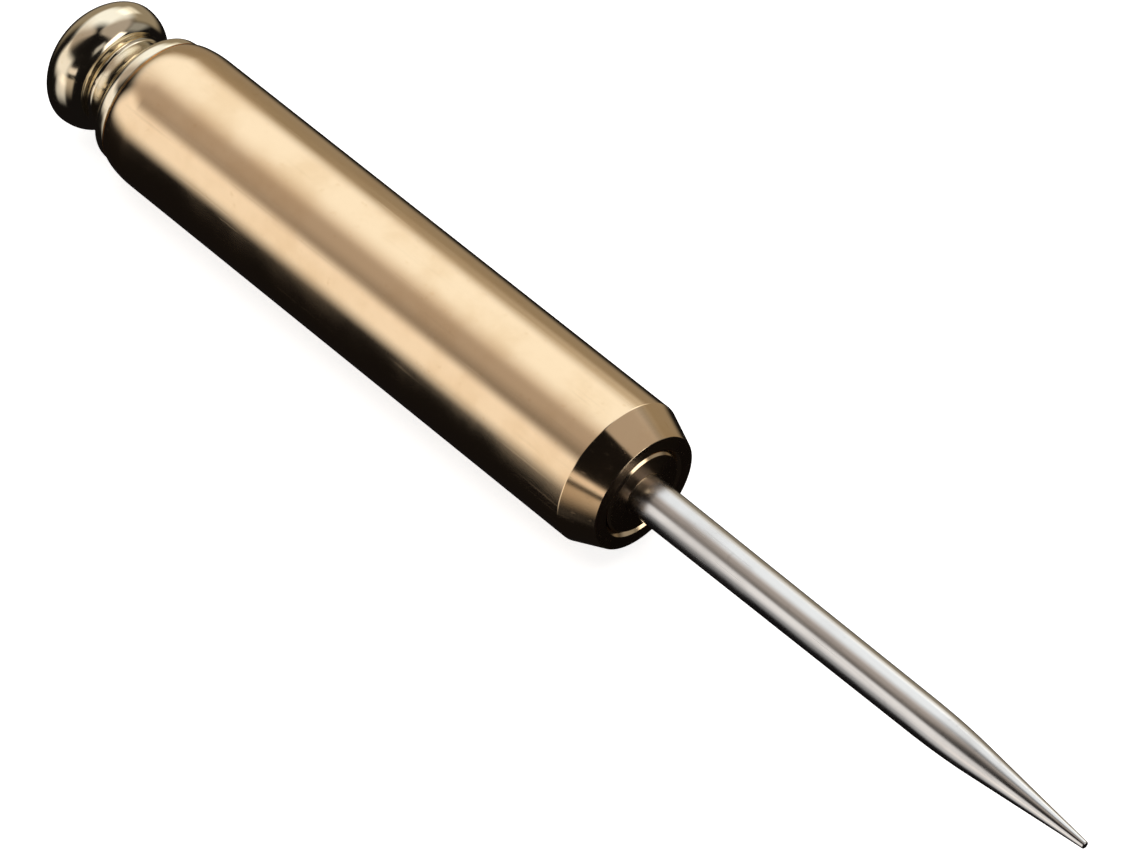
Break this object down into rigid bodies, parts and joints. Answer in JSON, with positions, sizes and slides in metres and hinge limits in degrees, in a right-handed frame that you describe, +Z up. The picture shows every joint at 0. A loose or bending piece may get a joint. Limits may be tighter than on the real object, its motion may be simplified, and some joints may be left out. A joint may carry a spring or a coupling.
{
  "type": "pricking awl",
  "caption": "Single-point leatherworking awl: a polished steel needle in a turned brass barrel handle with a coned nose and a screwed, mushroom-shaped end knob.",
  "frame": {"origin": "On the surface that the tool lies on, below the middle of its whole length and on its axis line.", "axes": "+X runs along the tool's axis towards the needle's point, +Z is up from the surface, and +Y completes the right-handed set."},
  "size_m": [0.1282, 0.0144, 0.0145],
  "materials": {
    "barrel_brass": "polished",
    "knob_brass": "polished",
    "rod_brass": "as turned",
    "needle_steel": "ground and polished",
    "inner_steel": "bright",
    "seal_rubber": "matt"
  },
  "bodies": {
    "handle": {"barrel": "barrel_brass", "nose_bush": "barrel_brass", "needle": "needle_steel", "needle_collar": "inner_steel", "thrust_rod": "rod_brass", "clamp_spring": "inner_steel", "spring_washer": "inner_steel"},
    "seal": {"knob_o_ring": "seal_rubber"},
    "knob": {"end_knob": "knob_brass"}
  },
  "joints": [
    {"name": "knob_travel", "type": "slide", "parent": "handle", "child": "seal", "axis": [-1, 0, 0], "range_m": [0, 0.007]},
    {"name": "knob_turn", "type": "hinge", "parent": "seal", "child": "knob", "pos_m": [-0.0539, 0, 0.00725], "axis": [-1, 0, 0], "range_deg": [0, 2520]}
  ],
  "couplings": [
    {"joint": "knob_turn", "follows": "knob_travel", "rad_per_m": 6283.1}
  ]
}
